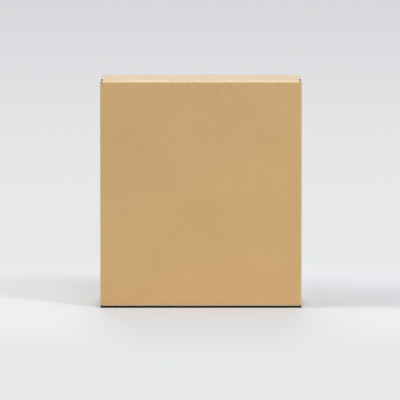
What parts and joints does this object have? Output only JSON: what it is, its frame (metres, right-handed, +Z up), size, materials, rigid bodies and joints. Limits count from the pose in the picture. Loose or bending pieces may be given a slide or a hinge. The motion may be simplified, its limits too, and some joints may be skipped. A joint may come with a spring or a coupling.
{
  "type": "cardboard box",
  "caption": "Plain upright corrugated kraft carton with hinged lids, tuck flaps and dust flaps at both ends.",
  "frame": {"origin": "middle of the rectangle that the closed carton stands on, at the bottom lid's underside", "axes": "+X to the right of someone facing the front panel, -Y out of the front panel on which both lids are hinged, +Z up"},
  "size_m": [0.2, 0.08, 0.225],
  "materials": {
    "kraft_board": "matt brown kraft liner, faintly ribbed by the flutes under it",
    "kraft_fold": "matt kraft liner, stretched smooth and a little paler over the fold",
    "kraft_inside": "matt uncoated kraft liner"
  },
  "bodies": {
    "tube": {"front_panel": "kraft_board", "back_panel": "kraft_board", "left_side_panel": "kraft_board", "right_side_panel": "kraft_board", "glue_flap": "kraft_inside", "front_left_corner_fold": "kraft_fold", "front_right_corner_fold": "kraft_fold", "back_left_corner_fold": "kraft_fold", "back_right_glue_fold": "kraft_fold", "top_lid_fold": "kraft_fold", "top_left_dust_fold": "kraft_fold", "top_right_dust_fold": "kraft_fold", "bottom_lid_fold": "kraft_fold", "bottom_left_dust_fold": "kraft_fold", "bottom_right_dust_fold": "kraft_fold"},
    "top_lid": {"top_lid": "kraft_board", "top_tuck_fold": "kraft_fold"},
    "top_tuck_flap": {"top_tuck_flap": "kraft_board"},
    "top_left_dust_flap": {"top_left_dust_flap": "kraft_board"},
    "top_right_dust_flap": {"top_right_dust_flap": "kraft_board"},
    "bottom_lid": {"bottom_lid": "kraft_board", "bottom_tuck_fold": "kraft_fold"},
    "bottom_tuck_flap": {"bottom_tuck_flap": "kraft_board"},
    "bottom_left_dust_flap": {"bottom_left_dust_flap": "kraft_board"},
    "bottom_right_dust_flap": {"bottom_right_dust_flap": "kraft_board"}
  },
  "joints": [
    {"name": "top_lid_hinge", "type": "hinge", "parent": "tube", "child": "top_lid", "pos_m": [0, -0.03936, 0.22436], "axis": [1, 0, 0], "range_deg": [0, 180], "deforming": ["top_lid_fold"]},
    {"name": "top_tuck_hinge", "type": "hinge", "parent": "top_lid", "child": "top_tuck_flap", "pos_m": [0, 0.03805, 0.22439], "axis": [1, 0, 0], "range_deg": [0, 90], "deforming": ["top_tuck_fold"]},
    {"name": "top_left_dust_hinge", "type": "hinge", "parent": "tube", "child": "top_left_dust_flap", "pos_m": [-0.098, 0, 0.2212], "axis": [0, 1, 0], "range_deg": [0, 75], "deforming": ["top_left_dust_fold"]},
    {"name": "top_right_dust_hinge", "type": "hinge", "parent": "tube", "child": "top_right_dust_flap", "pos_m": [0.098, 0, 0.2212], "axis": [0, -1, 0], "range_deg": [0, 75], "deforming": ["top_right_dust_fold"]},
    {"name": "bottom_lid_hinge", "type": "hinge", "parent": "tube", "child": "bottom_lid", "pos_m": [0, -0.03936, 0.00064], "axis": [-1, 0, 0], "range_deg": [0, 180], "deforming": ["bottom_lid_fold"]},
    {"name": "bottom_tuck_hinge", "type": "hinge", "parent": "bottom_lid", "child": "bottom_tuck_flap", "pos_m": [0, 0.03805, 0.00061], "axis": [-1, 0, 0], "range_deg": [0, 90], "deforming": ["bottom_tuck_fold"]},
    {"name": "bottom_left_dust_hinge", "type": "hinge", "parent": "tube", "child": "bottom_left_dust_flap", "pos_m": [-0.098, 0, 0.0038], "axis": [0, -1, 0], "range_deg": [0, 75], "deforming": ["bottom_left_dust_fold"]},
    {"name": "bottom_right_dust_hinge", "type": "hinge", "parent": "tube", "child": "bottom_right_dust_flap", "pos_m": [0.098, 0, 0.0038], "axis": [0, 1, 0], "range_deg": [0, 75], "deforming": ["bottom_right_dust_fold"]}
  ],
  "couplings": [
    {"joint": "top_tuck_hinge", "follows": "top_lid_hinge", "ratio": 0.5},
    {"joint": "bottom_tuck_hinge", "follows": "bottom_lid_hinge", "ratio": 0.5}
  ]
}
